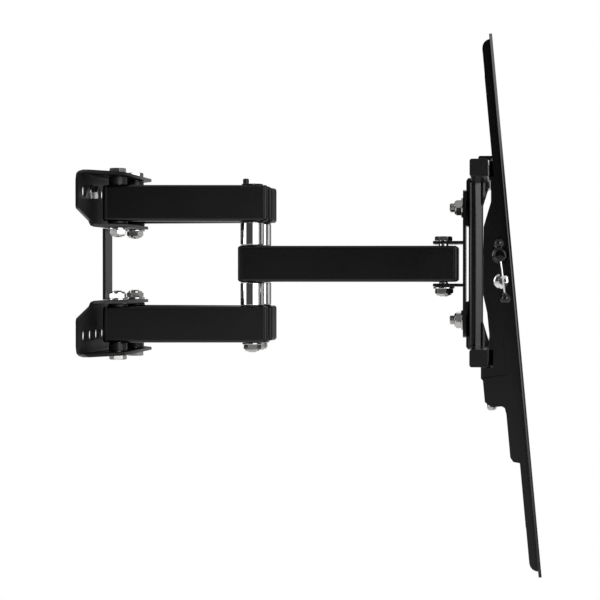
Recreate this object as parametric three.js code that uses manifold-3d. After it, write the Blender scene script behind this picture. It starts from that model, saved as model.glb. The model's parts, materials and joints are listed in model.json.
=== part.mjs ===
// Full motion wall mount for a television: two folded wall channels joined by a strap, two pairs of
// upper arms, two forearms, a clevis, a tilting head with two rails, and two slotted screen arms.
// Millimetres. X points away from the wall, Y along it, Z up. The origin is the middle of the wall
// plane. The near side is -Y and the far side is +Y; the two sides mirror each other.
import * as THREE from 'three';
import { mergeVertices } from 'three/addons/utils/BufferGeometryUtils.js';
import Module from 'manifold-3d';

const wasm = await Module();
wasm.setup();

// ---------- driving dimensions ----------
const clearance = 0.3;            // gap at every running or seated fit
const boltRadius = 4;             // M8 pivot bolts
const hexAcrossCorners = 14.6;    // M8 hexagons
const hexHeadHeight = 4;
const lockNutHeight = 5.6;
const washerThickness = 1.5;
const washerRadius = 8.4;

const channelHalfWidth = 108;     // wall channel, along the wall
const channelDepth = 30.5;        // wall channel, away from the wall
const channelTop = 75.5;          // outer face of the outer flange, above the middle
const channelBottom = 30.5;       // outer face of the inner flange, above the middle
const channelSheet = 2.5;
const channelBend = 4;
const outerFlangeHalf = 62;       // half length of the outer flange's front edge
const innerFlangeHalf = 46;       // half length of the inner flange's front edge
const innerFlangeRoot = 57;       // half length of the inner flange at the wall
const earBottom = 44;             // lower edge of the web's ears
const earShoulder = 35;           // where the ear's slope meets the inner flange
const earCornerRadius = 9;
const wallSlotHeight = 8.7;
const wallSlotLength = 14.5;
const wallSlotLevel = 58.5;       // height of the row of wall slots
const wallSlotPlaces = [0.114, 0.342, 0.569, 0.797].map((share) => share * channelHalfWidth);
const wallBoltPlace = wallSlotPlaces[2];
const wallBoltRadius = 3;
const strapNear = -3;             // edges of the strap, from the middle plane
const strapFar = 27;

const shoulderX = 20.4;           // wall pivots
const shoulderY = 38;
const elbowX = 131.8;             // elbows, with the arms drawn out
const elbowY = 25;
const wristX = 290.9;             // pivots in the clevis
const wristY = 18;

const armHeight = 30;             // every arm is the same rectangular tube
const armWidth = 20;
const armWall = 1.8;
const armCornerRadius = 2.4;
const armEndRadius = 2.6;
const upperArmFloor = 35.5;       // underside of the top arms, above the middle
const upperArmTail = 12;          // upper arm past the wall pivot
const upperArmNose = 13;          // upper arm past the elbow
const forearmTail = 11.5;         // forearm past the elbow
const forearmNose = 11.7;         // forearm past the clevis pivot

const sleeveRadius = 9.9;         // bright spacer tubes at the elbows
const collarRadius = 9.9;
const armCollar = 0.8;            // collar of each upper arm, at the elbow
const shoulderCollar = 2.2;       // and at the wall pivot
const forearmCollar = 0.6;        // collar on the forearm, at the elbow
const elbowHeadRadius = 9;
const elbowHeadHeight = 0.9;
const threadEnd = 0.8;            // thread that shows past a nut
const pegRadius = 2.5;
const pegHeight = 5.2;
const pegOffset = 5.8;            // peg on the near elbow's cap, from the bolt's axis
const pegTurn = 205;              // degrees round that axis, from +X

const clevisDepth = 16.1;         // wall side of the clevis plate, from the clevis pivots
const clevisSheet = 2.4;
const clevisHalfHeight = 61;
const clevisHalfWidth = 27;
const clevisEarGap = 16.5;        // inner face of each ear, from the middle
const clevisEarReach = 8.6;       // ear past the clevis pivots
const clevisHeadHeight = 3.6;

const headBoltZ = 47;             // the two bolts that hold the head on the clevis
const levelAngle = 3;             // degrees that the head turns each way to level the screen
const padDepth = 2.1;
const padBottom = 31;
const padShoulder = 49;           // the pads slope back to the column below here
const padTop = 71;                // the pads and the web reach up behind the rails
const padHalfWidth = 22;
const columnDepth = 11.5;
const columnHalfWidth = 30;
const columnSheet = 2.3;
const columnBend = 4.2;
const columnLip = 9;
const gussetHeight = 19;

const railDepth = 14.4;
const railHeight = 13.6;
const railBottom = 66.8;          // underside of the top rail
const railHalfLength = 130;
const railWall = 1.6;
const railRadius = 1.8;
const capThickness = 2;
const capPlug = 8;

const hangerY = 104;              // inner face of the hanger plates
const hangerSheet = 2.5;
const hangerBack = 14.1;          // hanger behind the tilt pivot
const hangerFront = 4.9;          // and in front of it
const hookReach = 8.3;
const hookSheet = 3.3;
const webGap = 0.5;               // between a hanger and its screen arm
const screenWebSheet = 2.5;
const tiltLead = 10.1;            // tilt pivots, in front of the rails
const tiltZ = -14;
const tiltRest = 5.27;            // degrees that the screen leans back at rest
const tiltRange = 10;             // degrees that it can lean forward from there
const screenFace = 10.15;         // screen side of the arms, from the tilt pivot
const screenSheet = 2.3;
const screenTop = 190.5;          // ends of the arms, along them from the tilt pivot
const screenBottom = -230;
const screenFlangeWidth = 24;
const screenWebDepth = 8.5;
const screenEndRadius = 7;
const screenEndGap = 1.5;
const screenSlotWidth = 8.4;
const screenSlots = [[73, 58], [131, 46], [183, 42]];   // place from the arm's middle, and length
const bossDepth = 21;             // depth of the web around the tilt pivot
const throatDepth = 12.5;          // depth of the web beside the lower rail
const lowerWebDepth = 15.7;
const tiltBoltRadius = 3;
const tiltHeadRadius = 6.3;
const tiltHeadHeight = 3.8;

const clampBack = 1;              // clamp screws, behind the tilt pivots
const clampZ = 6;
const clampScrewRadius = 3;
const clampWasherRadius = 6.6;
const clampPostRadius = 4.8;
const clampBarY = 141;            // plane that the clamp bars turn in
const clampPostEnd = 146;
const barRadius = 1.1;
const barLean = 7;                // degrees from upright
const barShortEnd = 9;            // middle of each ball, from the clamp screw
const barLongEnd = 33.5;
const ballRadius = 3.8;

const roundSides = 12;            // flats on a bolt, a bore or a washer
const largeSides = 16;            // flats on a larger round

// ---------- sizes worked out from those ----------
const radians = THREE.MathUtils.degToRad;
const boltHole = boltRadius + clearance;
const clevisPlateX = wristX + clevisDepth;
const columnWeb = clevisPlateX + clevisSheet + clearance + padDepth;
const railBack = columnWeb + columnSheet;
const upperArmTop = upperArmFloor + armHeight;
const upperArmLength = Math.hypot(elbowX - shoulderX, shoulderY - elbowY);
const upperArmTurn = Math.atan2(shoulderY - elbowY, elbowX - shoulderX);
const forearmLength = Math.hypot(wristX - elbowX, elbowY - wristY);
const forearmTurn = Math.atan2(elbowY - wristY, wristX - elbowX);
const hangerOuterY = hangerY + hangerSheet;
const webInnerY = hangerOuterY + webGap;
const webOuterY = webInnerY + screenWebSheet;
const screenMiddle = (screenTop + screenBottom) / 2;
const railTop = railBottom + railHeight;
const railFront = railBack + railDepth;
const tiltX = railFront + tiltLead;
const clampX = tiltX - clampBack;
const clampRadius = Math.hypot(clampX - tiltX, clampZ - tiltZ);

// ---------- materials ----------
function paint(color, roughness, metalness) {
  return new THREE.MeshStandardMaterial({ color, roughness, metalness });
}
const blackSteel = () => paint(0x161616, 0.45, 0.3);
const blackPlastic = () => paint(0x121212, 0.55, 0);
const zinc = () => paint(0xb9bcbf, 0.3, 0.9);
const chrome = () => paint(0xe4e6e8, 0.08, 1);
const greyNylon = () => paint(0x6c6e70, 0.6, 0);

// ---------- joining and cutting ----------
function toSolid(geometry) {
  const bare = geometry.clone();
  bare.deleteAttribute('normal');
  bare.deleteAttribute('uv');
  const merged = mergeVertices(bare);
  return new wasm.Manifold(new wasm.Mesh({
    numProp: 3,
    vertProperties: new Float32Array(merged.attributes.position.array),
    triVerts: new Uint32Array(merged.index.array),
  }));
}

function fromSolid(solid) {
  const mesh = solid.getMesh();
  const geometry = new THREE.BufferGeometry();
  geometry.setAttribute('position', new THREE.BufferAttribute(mesh.vertProperties, 3));
  geometry.setIndex(new THREE.BufferAttribute(mesh.triVerts, 1));
  geometry.computeVertexNormals();
  return geometry;
}

function join(...geometries) {
  return fromSolid(geometries.map(toSolid).reduce((sum, next) => sum.add(next)));
}

function cut(geometry, ...tools) {
  return fromSolid(tools.map(toSolid).reduce((rest, tool) => rest.subtract(tool), toSolid(geometry)));
}

function overlapOf(first, second) {
  return fromSolid(toSolid(first).intersect(toSolid(second)));
}

// ---------- outlines and extrusions ----------
function outline(points) {
  return new THREE.Shape(points.map(([x, y]) => new THREE.Vector2(x, y)));
}

function roundedBox(left, bottom, right, top, radius, path = new THREE.Shape()) {
  path.moveTo(left + radius, bottom);
  path.lineTo(right - radius, bottom);
  path.absarc(right - radius, bottom + radius, radius, -Math.PI / 2, 0);
  path.lineTo(right, top - radius);
  path.absarc(right - radius, top - radius, radius, 0, Math.PI / 2);
  path.lineTo(left + radius, top);
  path.absarc(left + radius, top - radius, radius, Math.PI / 2, Math.PI);
  path.lineTo(left, bottom + radius);
  path.absarc(left + radius, bottom + radius, radius, Math.PI, 1.5 * Math.PI);
  return path;
}

function circle(x, y, radius, sides = roundSides, path = new THREE.Path()) {
  const points = [];
  for (let index = 0; index < sides; index += 1) {
    const angle = 2 * Math.PI * index / sides;
    points.push(new THREE.Vector2(x + radius * Math.cos(angle), y + radius * Math.sin(angle)));
  }
  return path.setFromPoints(points);
}

// An upright slot is longer in y, a level one is longer in x; both have round ends.
function slot(x, y, width, height, path = new THREE.Path()) {
  const radius = Math.min(width, height) / 2 - 0.01;
  return roundedBox(x - width / 2, y - height / 2, x + width / 2, y + height / 2, radius, path);
}

// Each quarter arc of a shape becomes twice as many flats as curveSegments says.
function extrude(shape, depth, curveSegments = 1) {
  return new THREE.ExtrudeGeometry(shape, { depth, curveSegments, bevelEnabled: false });
}

// Plates lie across one axis, between two places on it.
function plateAcrossZ(shape, low, high, curveSegments) {
  return extrude(shape, high - low, curveSegments).translate(0, 0, low);
}

function plateAcrossY(shape, first, second, curveSegments) {
  const high = Math.max(first, second);
  const depth = Math.abs(second - first);
  return extrude(shape, depth, curveSegments).rotateX(Math.PI / 2).translate(0, high, 0);
}

function plateAcrossX(shape, low, high, curveSegments) {
  return extrude(shape, high - low, curveSegments).rotateX(Math.PI / 2).rotateZ(Math.PI / 2)
    .translate(low, 0, 0);
}

function rod(radius, low, high, sides = roundSides) {
  return new THREE.CylinderGeometry(radius, radius, high - low, sides).rotateX(Math.PI / 2)
    .translate(0, 0, (low + high) / 2);
}

function ring(radius, hole, low, high, sides = roundSides) {
  const shape = circle(0, 0, radius, sides, new THREE.Shape());
  shape.holes.push(circle(0, 0, hole, sides));
  return plateAcrossZ(shape, low, high);
}

// A profile of [radius, height] pairs turned around Z, from one end on the axis to the other.
function turned(profile, sides = roundSides) {
  const points = profile.map(([radius, height]) => new THREE.Vector2(radius, height));
  return new THREE.LatheGeometry(points, sides).rotateX(Math.PI / 2);
}

function hexagon(low, high) {
  return rod(hexAcrossCorners / 2, low, high, 6);
}

// ---------- fasteners, upright on the origin ----------
function hexBolt(shankEnd, seat, headHeight = hexHeadHeight, radius = boltRadius) {
  return join(hexagon(seat, seat + headHeight), rod(radius, shankEnd, seat + 0.1));
}

// A lock nut under a seat: washer, hexagon and the round collar that holds its nylon ring.
function lockNut(seat, hole = boltHole) {
  const washerEnd = seat - washerThickness;
  const hexEnd = washerEnd - lockNutHeight + 1.4;
  const body = join(
    rod(washerRadius, washerEnd, seat),
    hexagon(hexEnd, washerEnd + 0.1),
    rod(hexAcrossCorners * 0.4, hexEnd - 1.4, hexEnd + 0.1),
  );
  return hole > 0 ? cut(body, rod(hole, seat - 20, seat + 1)) : body;
}

// ---------- wall bracket ----------
// The channel's section in X and Z: web on the wall, outer flange on top, inner flange below.
function channelSection() {
  const t = channelSheet;
  const r = channelBend;
  const section = new THREE.Shape();
  section.moveTo(channelDepth, channelBottom);
  section.lineTo(channelDepth, channelBottom + t);
  section.lineTo(r, channelBottom + t);
  section.absarc(r, channelBottom + r, r - t, 1.5 * Math.PI, Math.PI, true);
  section.lineTo(t, channelTop - r);
  section.absarc(r, channelTop - r, r - t, Math.PI, Math.PI / 2, true);
  section.lineTo(channelDepth, channelTop - t);
  section.lineTo(channelDepth, channelTop);
  section.lineTo(r, channelTop);
  section.absarc(r, channelTop - r, r, Math.PI / 2, Math.PI);
  section.lineTo(0, channelBottom + r);
  section.absarc(r, channelBottom + r, r, Math.PI, 1.5 * Math.PI);
  return section;
}

// The web seen from the front, in Y and Z: wide ears above, and a slope down to the inner flange.
function earOutline() {
  const w = channelHalfWidth;
  const r = earCornerRadius;
  const shape = new THREE.Shape();
  shape.moveTo(-innerFlangeRoot, channelBottom - 1);
  shape.lineTo(innerFlangeRoot, channelBottom - 1);
  shape.lineTo(innerFlangeRoot + 1.5, earShoulder);
  shape.lineTo(w - 2, earBottom);
  shape.lineTo(w, earBottom + 2);
  shape.lineTo(w, channelTop - r);
  shape.absarc(w - r, channelTop - r, r, 0, Math.PI / 2);
  shape.lineTo(-w + r, channelTop);
  shape.absarc(-w + r, channelTop - r, r, Math.PI / 2, Math.PI);
  shape.lineTo(-w, earBottom + 2);
  shape.lineTo(-w + 2, earBottom);
  shape.lineTo(-innerFlangeRoot - 1.5, earShoulder);
  return shape;
}

// A flange's plan, in X and Y: long at the wall and shorter at its front edge.
function flangePlan(rootHalf, frontHalf) {
  return outline([
    [-1, -rootHalf], [channelBend, -rootHalf], [channelDepth, -frontHalf],
    [channelDepth, frontHalf], [channelBend, rootHalf], [-1, rootHalf],
  ]);
}

function wallChannel() {
  const middle = (channelTop + channelBottom) / 2;
  const section = plateAcrossY(channelSection(), -channelHalfWidth, channelHalfWidth);
  const plan = join(
    plateAcrossZ(flangePlan(channelHalfWidth, outerFlangeHalf), middle, channelTop + 1),
    plateAcrossZ(flangePlan(innerFlangeRoot, innerFlangeHalf),
      channelBottom - 1, channelBottom + channelBend),
    plateAcrossX(earOutline(), -1, channelSheet),
  );
  const front = plateAcrossX(earOutline(), -1, channelDepth + 1);
  const holes = wallSlotPlaces.flatMap((place) => [-place, place]).map((y) => (
    plateAcrossX(slot(y, wallSlotLevel, wallSlotLength, wallSlotHeight, new THREE.Shape()), -1, channelBend)
  ));
  const pivots = [-shoulderY, shoulderY].map((y) => (
    rod(boltHole, channelBottom - 1, channelTop + 1).translate(shoulderX, y, 0)
  ));
  return cut(overlapOf(overlapOf(section, front), plan), ...holes, ...pivots);
}

function strap() {
  const shape = roundedBox(strapNear, -channelBottom, strapFar, channelBottom, 0.5);
  return plateAcrossX(shape, 0, channelSheet);
}

// Hexagon screw with its washer, in the wall slot that is kept for it.
function wallBolt() {
  const seat = channelSheet + clearance;
  const head = 5.2;
  const body = join(
    rod(washerRadius * 0.8, seat, seat + washerThickness),
    rod(5.8, seat + washerThickness - 0.1, seat + washerThickness + head, 6),
    rod(wallBoltRadius, clearance, seat + 0.1),
  );
  return body.rotateY(Math.PI / 2);
}

// ---------- arms, along X from their first pivot ----------
// A rectangular tube with closed ends, rounded along its corners and round its ends.
function armTube(start, end, low) {
  const high = low + armHeight;
  const half = armWidth / 2;
  const bar = plateAcrossX(roundedBox(-half, low, half, high, armCornerRadius), start, end);
  const side = plateAcrossY(roundedBox(start, low, end, high, armEndRadius), -half - 1, half + 1);
  const hollow = new THREE.BoxGeometry(
    end - start - 2 * armWall, armWidth - 2 * armWall, armHeight - 2 * armWall,
  ).translate((start + end) / 2, 0, (low + high) / 2);
  return cut(overlapOf(bar, side), hollow);
}

function upperArm() {
  const low = upperArmFloor;
  const collars = [
    ring(washerRadius, boltHole, low - shoulderCollar, low + armWall / 2, largeSides),
    ring(collarRadius, boltHole, low - armCollar, low + armWall / 2, largeSides)
      .translate(upperArmLength, 0, 0),
  ];
  const tube = join(armTube(-upperArmTail, upperArmLength + upperArmNose, low), ...collars);
  const holes = [0, upperArmLength].map((x) => (
    rod(boltHole, low - armCollar - 1, upperArmTop + 1).translate(x, 0, 0)
  ));
  return cut(tube, ...holes);
}

function forearm() {
  const half = armHeight / 2;
  const collars = [
    ring(collarRadius, boltHole, half - armWall / 2, half + forearmCollar, largeSides),
    ring(collarRadius, boltHole, -half - forearmCollar, -half + armWall / 2, largeSides),
  ];
  const tube = join(armTube(-forearmTail, forearmLength + forearmNose, -half), ...collars);
  const holes = [0, forearmLength].map((x) => (
    rod(boltHole, -half - forearmCollar - 1, half + forearmCollar + 1).translate(x, 0, 0)
  ));
  return cut(tube, ...holes);
}

// The near one carries a small peg on its cap.
function elbowBolt(pegged) {
  const seat = upperArmTop + clearance;
  const nutEnd = -seat - washerThickness - lockNutHeight;
  const bolt = turned([
    [0, nutEnd - threadEnd],
    [boltRadius, nutEnd - threadEnd],
    [boltRadius, seat],
    [elbowHeadRadius, seat],
    [elbowHeadRadius, seat + elbowHeadHeight * 0.4],
    [elbowHeadRadius - 0.6, seat + elbowHeadHeight],
    [0, seat + elbowHeadHeight],
  ], largeSides);
  const peg = rod(pegRadius, seat + elbowHeadHeight - 0.5, seat + pegHeight)
    .translate(pegOffset, 0, 0).rotateZ(radians(pegTurn));
  return pegged ? join(bolt, peg) : bolt;
}

function elbowSleeve() {
  const low = armHeight / 2 + forearmCollar + clearance;
  return ring(sleeveRadius, boltHole, low, upperArmFloor - armCollar - clearance, largeSides);
}

// ---------- clevis ----------
function clevis() {
  const front = clevisPlateX + clevisSheet;
  const boltTravel = headBoltZ * Math.sin(radians(levelAngle));
  const plateShape = roundedBox(-clevisHalfWidth, -clevisHalfHeight, clevisHalfWidth, clevisHalfHeight, 4);
  for (const z of [-headBoltZ, headBoltZ]) {
    const width = 2 * (boltHole + boltTravel + clearance);
    plateShape.holes.push(slot(0, z, width, 2 * (boltHole + clearance)));
  }
  const plate = plateAcrossX(plateShape, clevisPlateX, front);
  const ears = [-1, 1].map((side) => {
    const inner = clevisEarGap;
    const shape = roundedBox(wristX - clevisEarReach, -clevisHalfWidth,
      clevisPlateX + 3, clevisHalfWidth, 2.2);
    for (const y of [-wristY, wristY]) shape.holes.push(circle(wristX, y, boltHole));
    const low = side > 0 ? inner : -inner - clevisSheet;
    return overlapOf(
      plateAcrossZ(shape, low, low + clevisSheet),
      new THREE.BoxGeometry(front - wristX + 40, 100, 100).translate((front + wristX - 40) / 2, 0, 0),
    );
  });
  return join(plate, ...ears);
}

const clevisSeat = clevisEarGap + clevisSheet + clearance;

function wristBolt() {
  const end = -clevisSeat - washerThickness - lockNutHeight - threadEnd;
  return hexBolt(end, clevisSeat, clevisHeadHeight);
}

// The far clevis pivot is the one that is left open, so its bolt and its nut stop inside the ears.
function openWristBolt() {
  return hexBolt(clevisEarGap, clevisSeat, clevisHeadHeight);
}

function openWristNut() {
  const body = join(lockNut(0, 0), rod(boltRadius, -0.1, clevisSheet + clearance));
  return join(body, rod(boltRadius, -washerThickness - lockNutHeight - threadEnd, 0));
}

// ---------- head ----------
// The column's section in X and Y: a web towards the wall, two sides, and two lips towards the screen.
function columnSection() {
  const t = columnSheet;
  const r = columnBend;
  const x0 = columnWeb;
  const x1 = columnWeb + columnDepth;
  const w = columnHalfWidth;
  const shape = new THREE.Shape();
  shape.moveTo(x1, -w + columnLip);
  shape.lineTo(x1 - t, -w + columnLip);
  shape.lineTo(x1 - t, -w + r);
  shape.absarc(x1 - r, -w + r, r - t, 0, -Math.PI / 2, true);
  shape.lineTo(x0 + r, -w + t);
  shape.absarc(x0 + r, -w + r, r - t, -Math.PI / 2, -Math.PI, true);
  shape.lineTo(x0 + t, w - r);
  shape.absarc(x0 + r, w - r, r - t, Math.PI, Math.PI / 2, true);
  shape.lineTo(x1 - r, w - t);
  shape.absarc(x1 - r, w - r, r - t, Math.PI / 2, 0, true);
  shape.lineTo(x1 - t, w - columnLip);
  shape.lineTo(x1, w - columnLip);
  shape.lineTo(x1, w - r);
  shape.absarc(x1 - r, w - r, r, 0, Math.PI / 2);
  shape.lineTo(x0 + r, w);
  shape.absarc(x0 + r, w - r, r, Math.PI / 2, Math.PI);
  shape.lineTo(x0, -w + r);
  shape.absarc(x0 + r, -w + r, r, Math.PI, 1.5 * Math.PI);
  shape.lineTo(x1 - r, -w);
  shape.absarc(x1 - r, -w + r, r, 1.5 * Math.PI, 2 * Math.PI);
  return shape;
}

function padSection() {
  const face = columnWeb - padDepth;
  return outline([
    [columnWeb + 1, padBottom], [columnWeb, padBottom], [face, padShoulder],
    [face, padTop - 2.4], [face + 1.2, padTop - 0.6], [face + 2, padTop], [columnWeb + 1, padTop],
  ]);
}

function column() {
  const webHalf = columnHalfWidth - columnBend;
  const parts = [
    plateAcrossZ(columnSection(), -railBottom, railBottom, 3),
    plateAcrossX(roundedBox(-webHalf, -padTop, webHalf, padTop, 3), columnWeb, columnWeb + columnSheet),
  ];
  const front = columnWeb + columnDepth;
  for (const side of [-1, 1]) {
    const pad = plateAcrossY(padSection(), -padHalfWidth, padHalfWidth);
    parts.push(side > 0 ? pad : pad.rotateX(Math.PI));
    for (const end of [-1, 1]) {
      const gusset = outline([
        [front - columnBend, end * railBottom], [railFront, end * railBottom],
        [front - 0.5, end * (railBottom - gussetHeight)],
        [front - columnBend, end * (railBottom - gussetHeight)],
      ]);
      const outer = side * columnHalfWidth;
      parts.push(plateAcrossY(gusset, outer, outer - side * columnSheet));
    }
  }
  const holes = [-headBoltZ, headBoltZ].map((z) => (
    rod(boltHole, columnWeb - 5, columnWeb + 5).rotateY(Math.PI / 2).translate(0, 0, z)
  ));
  return cut(join(...parts), ...holes);
}

function rail() {
  const section = roundedBox(railBack, railBottom, railFront, railTop, railRadius);
  section.holes.push(roundedBox(
    railBack + railWall, railBottom + railWall, railFront - railWall, railTop - railWall, 0.6,
    new THREE.Path(),
  ));
  return plateAcrossY(section, -railHalfLength, railHalfLength);
}

// A plug for a rail's end: a plate over the end, and a block inside the tube.
function railCap(side) {
  const inset = railWall + clearance;
  const end = railHalfLength + clearance;
  const plate = roundedBox(railBack, railBottom, railFront, railTop, railRadius);
  const block = roundedBox(railBack + inset, railBottom + inset, railFront - inset, railTop - inset, 0.6);
  return join(
    plateAcrossY(plate, side * end, side * (end + capThickness)),
    plateAcrossY(block, side * (railHalfLength - capPlug), side * (end + 0.1)),
  );
}

// The head's bolts point at the wall: round heads inside the column, nuts on the clevis.
function headBolt() {
  const head = columnWeb + columnSheet + clearance;
  const nutEnd = clevisPlateX - clearance - washerThickness - lockNutHeight;
  return turned([
    [0, nutEnd - 5 * threadEnd],
    [boltRadius, nutEnd - 5 * threadEnd],
    [boltRadius, head],
    [6.6, head],
    [6.2, head + 2],
    [4, head + 3.4],
    [0, head + 3.8],
  ]).rotateY(Math.PI / 2);
}

function headNut() {
  return lockNut(clevisPlateX - clearance).rotateY(Math.PI / 2);
}

// ---------- hangers ----------
// A hanger's outline in X and Z: it hooks over the top rail and under the lower one, and stands a
// little proud of the column between them.
function hangerOutline() {
  const seat = railFront + clearance;
  const over = railTop + clearance;
  const back = tiltX - hangerBack;
  const front = tiltX + hangerFront;
  const foot = -over - 11.5;
  return outline([
    [seat - hookReach, over], [seat, over], [seat, railBottom], [seat + 1.6, railBottom - 3],
    [seat + 1.6, 48], [back + 0.2, 28.5], [back, 12], [back, -25], [back + 1.6, -32], [back + 3.1, -39],
    [seat + 0.5, -56], [seat, -railBottom], [seat, -over], [seat - hookReach + 2.2, -over],
    [seat - hookReach + 2.2, foot + 1.8], [seat - hookReach + 4.2, foot], [front - 1.6, foot],
    [front - 0.4, -railTop], [front, -railBottom], [front, 16],
    [front - 6, 62], [front - 6.4, over + hookSheet], [seat - hookReach + 1, over + hookSheet],
    [seat - hookReach, over + 2.2],
  ]);
}

function hanger(side) {
  const shape = hangerOutline();
  shape.holes.push(circle(tiltX, tiltZ, tiltBoltRadius + clearance));
  shape.holes.push(circle(clampX, clampZ, clampScrewRadius + clearance));
  return plateAcrossY(shape, side * hangerY, side * hangerOuterY);
}

// ---------- screen arms, along Z from the tilt pivot, with the screen at +X ----------
function screenWebOutline() {
  const back = (depth) => screenFace - depth;
  const r = screenEndRadius;
  const top = screenTop - screenEndGap;
  const bottom = screenBottom + screenEndGap;
  const shape = new THREE.Shape();
  shape.moveTo(screenFace, top);
  shape.lineTo(back(screenWebDepth) + r, top);
  shape.absarc(back(screenWebDepth) + r, top - r, r, Math.PI / 2, Math.PI);
  shape.lineTo(back(screenWebDepth), 46);
  shape.lineTo(back(bossDepth), 28);
  shape.lineTo(back(bossDepth), -24);
  shape.lineTo(back(throatDepth), -40);
  shape.lineTo(back(throatDepth), -73.5);
  shape.lineTo(back(31.5), -74.5);
  shape.lineTo(back(31.5), -93);
  shape.lineTo(back(28.5), -96);
  shape.lineTo(back(26), -97.5);
  shape.lineTo(back(lowerWebDepth + 3), -97.5);
  shape.lineTo(back(lowerWebDepth + 0.8), -99);
  shape.lineTo(back(lowerWebDepth), -104);
  shape.lineTo(back(lowerWebDepth), -138);
  shape.lineTo(back(lowerWebDepth - 2), -141.5);
  shape.lineTo(back(screenWebDepth), -143);
  shape.lineTo(back(screenWebDepth), bottom + r);
  shape.absarc(back(screenWebDepth) + r, bottom + r, r, Math.PI, 1.5 * Math.PI);
  shape.lineTo(screenFace, bottom);
  return shape;
}

// The slot that the clamp screw follows round the tilt pivot as the screen tilts.
function clampSlot() {
  const r = clampScrewRadius + clearance;
  const lead = Math.atan2(clampZ - tiltZ, clampX - tiltX) - radians(tiltRest);
  const start = lead - radians(0.8);
  const end = lead + radians(tiltRange + 0.8);
  const place = (angle) => [clampRadius * Math.cos(angle), clampRadius * Math.sin(angle)];
  const path = new THREE.Path();
  path.absarc(0, 0, clampRadius + r, start, end);
  path.absarc(...place(end), r, end, end + Math.PI);
  path.absarc(0, 0, clampRadius - r, end, start, true);
  path.absarc(...place(start), r, start + Math.PI, start + 2 * Math.PI);
  return path;
}

function screenArm(side) {
  const webShape = screenWebOutline();
  webShape.holes.push(circle(0, 0, tiltBoltRadius + clearance));
  webShape.holes.push(clampSlot());
  const web = plateAcrossY(webShape, side * webInnerY, side * webOuterY, 2);

  const outer = webInnerY + screenFlangeWidth;
  const face = roundedBox(Math.min(side * webInnerY, side * outer), screenBottom,
    Math.max(side * webInnerY, side * outer), screenTop, 1.5);
  const slotY = side * (webOuterY + outer) / 2;
  for (const [place, length] of screenSlots) {
    for (const end of [-1, 1]) {
      face.holes.push(slot(slotY, screenMiddle + end * place, screenSlotWidth, length));
    }
  }
  const flange = plateAcrossX(face, screenFace - screenSheet, screenFace);

  const screw = screwPlace(side);
  const tabShape = roundedBox(screw.x - 3.5, Math.min(side * (hangerY - 9), side * webOuterY),
    screw.x + 5.2, Math.max(side * (hangerY - 9), side * webOuterY), 1.2);
  tabShape.holes.push(circle(screw.x, screw.y, 2 + clearance));
  const tab = plateAcrossZ(tabShape, screw.z, screw.z + 2);
  return join(web, flange, tab);
}

// Security screw, up through the tab at the bottom of the web's tail.
function screwPlace(side) {
  return new THREE.Vector3(-16.3, side * (hangerY - 4.5), -95.5);
}

function securityScrew(side) {
  const place = screwPlace(side);
  const body = turned([
    [0, -5], [2.2, -5], [3.3, -4.3], [3.7, -3], [3.7, -1], [3, -clearance], [2, -clearance],
    [2, 12], [0, 12],
  ]);
  return body.translate(place.x, place.y, place.z);
}

// ---------- pivots and clamps, along Y ----------
// A turned piece whose heights are distances from the middle plane, on the given side.
function turnedAlongY(profile, side, x, z, sides) {
  return turned(profile, sides).rotateX(side > 0 ? -Math.PI / 2 : Math.PI / 2).translate(x, 0, z);
}

function tiltBolt(side) {
  const head = webOuterY + clearance;
  const foot = hangerY - clearance;
  return turnedAlongY([
    [0, foot - 3], [4.6, foot - 3], [5, foot], [tiltBoltRadius, foot], [tiltBoltRadius, head],
    [tiltHeadRadius, head], [tiltHeadRadius, head + 1.6], [tiltHeadRadius - 1.2, head + 2.9],
    [2.5, head + tiltHeadHeight], [0, head + tiltHeadHeight],
  ], side, tiltX, tiltZ);
}

function clampScrew(side) {
  const seat = webOuterY + clearance;
  const body = turnedAlongY([
    [0, hangerY - 6], [clampScrewRadius, hangerY - 6], [clampScrewRadius, seat],
    [clampWasherRadius, seat], [clampWasherRadius, seat + 2.2], [clampPostRadius, seat + 4],
    [clampPostRadius, clampPostEnd - 1.2], [clampPostRadius - 1.4, clampPostEnd], [0, clampPostEnd],
  ], side, clampX, clampZ);
  const hole = rod(barRadius + clearance, -12, 12).rotateY(-radians(barLean))
    .translate(clampX, side * clampBarY, clampZ);
  return cut(body, hole);
}

function clampBar(side) {
  const ball = (height) => new THREE.SphereGeometry(ballRadius, 10, 6).rotateX(Math.PI / 2)
    .translate(0, 0, height);
  const bar = rod(barRadius, -barLongEnd, barShortEnd, 8);
  return join(bar, ball(-barLongEnd), ball(barShortEnd)).rotateY(-radians(barLean))
    .translate(clampX, side * clampBarY, clampZ);
}

// ---------- assembly ----------
const group = new THREE.Group();

function addPiece(name, geometry, material, parent = group) {
  const mesh = new THREE.Mesh(geometry, material);
  mesh.name = name;
  parent.add(mesh);
  return mesh;
}

function turnedGroup(x, y, z, axis, angle) {
  const inner = new THREE.Group();
  inner.position.set(x, y, z);
  inner.rotation[axis] = angle;
  group.add(inner);
  return inner;
}

const sides = [['near', -1], ['far', 1]];
const levels = [['top', 0], ['bottom', Math.PI]];

for (const [level, flip] of levels) {
  addPiece(`wall_channel_${level}`, wallChannel(), blackSteel()).rotation.x = flip;
}
addPiece('centre_strap', strap(), blackSteel());
addPiece('wall_bolt', wallBolt(), zinc()).position.set(0, -wallBoltPlace, wallSlotLevel);

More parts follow.
